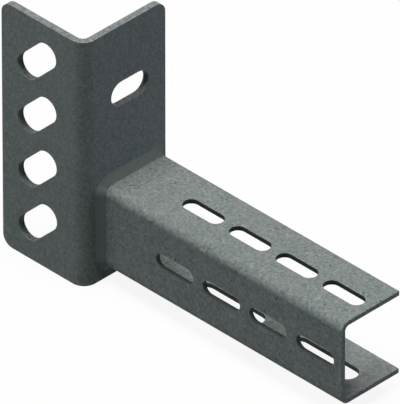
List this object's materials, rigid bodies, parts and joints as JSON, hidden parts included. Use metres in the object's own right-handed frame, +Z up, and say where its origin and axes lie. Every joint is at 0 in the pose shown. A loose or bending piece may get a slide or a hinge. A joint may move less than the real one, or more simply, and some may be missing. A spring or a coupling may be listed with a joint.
{
  "type": "cantilever strut arm",
  "caption": "Welded steel bracket: a slotted channel arm stands straight out from a slotted angle that bolts round the corner of a square strut.",
  "frame": {"origin": "on the angle's strut-side face, in the middle of the arm's width and level with the arm's middle", "axes": "+X along the arm to its free end, +Y towards the open side of the channel, +Z up the angle"},
  "size_m": [0.173, 0.044, 0.113],
  "materials": {
    "galvanised_sheet": "hot-dip galvanised, dull grey with fine spangle",
    "galvanised_weld": "hot-dip galvanised over a dressed weld"
  },
  "bodies": {
    "root": {"mounting_angle": "galvanised_sheet", "channel_arm": "galvanised_sheet", "weld_bead": "galvanised_weld"}
  },
  "joints": []
}
